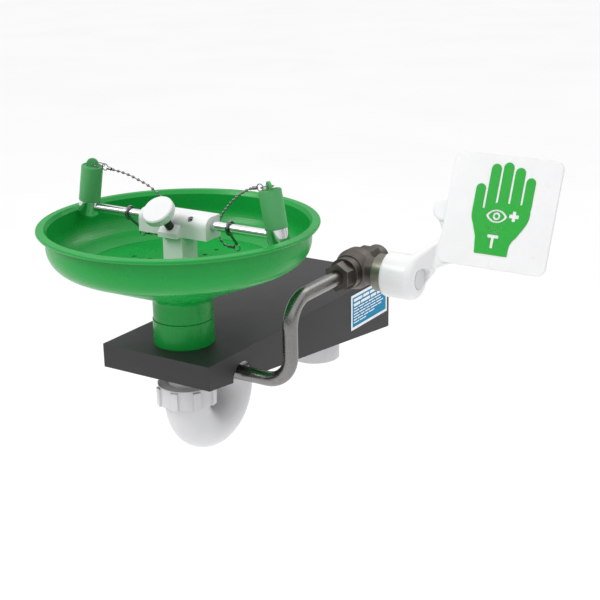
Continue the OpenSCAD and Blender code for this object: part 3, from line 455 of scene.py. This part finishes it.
# Each row's height, and its bars' widths in millimetres
LABEL_ROWS = [(BOLD, (20, 14, 16, 11)), (BOLD, (15, 21, 13, 15)), (FINE, (9, 14, 6, 12, 15, 8)),
              (FINE, (13, 7, 16, 9, 12, 9)), (FINE, (11, 15, 7, 13, 16)),
              (FINE, (14, 9, 12, 15, 8)), (FINE, (8, 12, 10, 13)), (FINE, (12, 15))]


def print_label(materials):
    """A white border and rows of plain bars in place of the label's words."""
    low, high = (Vector(p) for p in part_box("side_label"))
    front, film, border = high.x, LABEL_FILM, LABEL_BORDER
    mesh = bmesh.new()
    for y0, y1, z0, z1 in ((low.y, high.y, high.z - border, high.z),
                           (low.y, high.y, low.z, low.z + border),
                           (low.y, low.y + border, low.z + border, high.z - border),
                           (high.y - border, high.y, low.z + border, high.z - border)):
        rounded_bar(mesh, Vector((front, y0, z0)), Vector((front + film, y1, z1)))
    top = high.z - border - ROW_GAP
    for tall, words in LABEL_ROWS:
        left = low.y + border + LEFT_MARGIN
        for word in words:
            right = left + word * MM
            if right > high.y - border - RIGHT_MARGIN:
                break
            rounded_bar(mesh, Vector((front, left, top - tall)),
                        Vector((front + film, right, top)), tall * BAR_ROUND)
            left = right + WORD_GAP
        top -= tall + ROW_GAP
    add_mesh("label_print", mesh, materials["label_white"], "station", smooth=False)


# ---- Studio ----

FLOOR_DROP = 0.9         # from the bracket down to the floor, in metres
FLOOR_HALF = 250
# The sky's greys: below the horizon, just above it, low down and high up
SKY_LIGHT = 1.17
SKY_BELOW = (0.82, 0.82, 0.82, 1)
SKY_RISES = [(0.004, (0.30, 0.30, 0.31, 1)), (0.15, (0.22, 0.22, 0.23, 1))]
SKY_HIGH_FROM = 0.6
SKY_HIGH = (1, 1, 1, 1)
# Each light's name, place, size in metres and power in watts
LIGHTS = [("key", (-1.3, -1.9, 2.1), 1.2, 30), ("fill", (2.2, -1.6, 1.0), 1.6, 3),
          ("back", (0.5, 1.4, 1.9), 1.2, 8)]
LIGHTS_AIM = Vector((0.05, -0.25, 0.08))


def make_floor():
    """A pale floor, far enough below for a station at working height."""
    mesh = bmesh.new()
    floor_z, half = bracket_low.z - FLOOR_DROP, FLOOR_HALF
    mesh.faces.new([mesh.verts.new((x, y, floor_z)) for x, y in
                    ((-half, -half), (half, -half), (half, half), (-half, half))])
    data = bpy.data.meshes.new("floor")
    mesh.to_mesh(data)
    mesh.free()
    floor = bpy.data.objects.new("floor", data)
    bpy.context.scene.collection.objects.link(floor)
    s = Surface("floor_pale")
    clouds = s.noise(scale=1.5, detail=2)
    s.finish(s.mix(s.between(clouds, 0, 1), (0.93, 0.93, 0.93), (0.95, 0.95, 0.95)),
             s.between(clouds, 0.85, 0.9), s.bump(clouds, distance=0.1 * MM, strength=0.1))
    data.materials.append(s.material)


def make_sky():
    """A soft sky, white overhead and greyer low down, so that white pieces stand out."""
    world = bpy.data.worlds.new("sky")
    bpy.context.scene.world = world
    world.use_nodes = True
    tree = world.node_tree
    where = tree.nodes.new("ShaderNodeTexCoord")
    split = tree.nodes.new("ShaderNodeSeparateXYZ")
    ramp = tree.nodes.new("ShaderNodeValToRGB")
    tree.links.new(where.outputs["Generated"], split.inputs[0])
    tree.links.new(split.outputs["Z"], ramp.inputs["Fac"])
    tree.links.new(ramp.outputs["Color"], tree.nodes["Background"].inputs["Color"])
    stops = ramp.color_ramp.elements
    stops[0].position, stops[0].color = 0, SKY_BELOW
    stops[1].position, stops[1].color = SKY_HIGH_FROM, SKY_HIGH
    for height, color in SKY_RISES:
        stops.new(height).color = color
    tree.nodes["Background"].inputs["Strength"].default_value = SKY_LIGHT


def make_lights():
    """Soft lights, aimed at the bowl."""
    for name, place, size, power in LIGHTS:
        lamp = bpy.data.lights.new(name, "AREA")
        lamp.size, lamp.energy = size, power
        light = bpy.data.objects.new(name, lamp)
        bpy.context.scene.collection.objects.link(light)
        light.location = place
        aim = LIGHTS_AIM - light.location
        light.rotation_euler = aim.to_track_quat("-Z", "Y").to_euler()


make_camera()
materials = make_materials()
bead_chain("left", CHAIN_LEFT, materials["bead_nickel"])
bead_chain("right", CHAIN_RIGHT, materials["bead_nickel"])
dress_cad_nodes(materials)
for name, (cell, turns) in SOFTENED.items():
    soften(nodes[name], cell * MM, turns)
print_label(materials)
make_floor()
make_sky()
make_lights()
bpy.context.scene.view_settings.view_transform = "Standard"
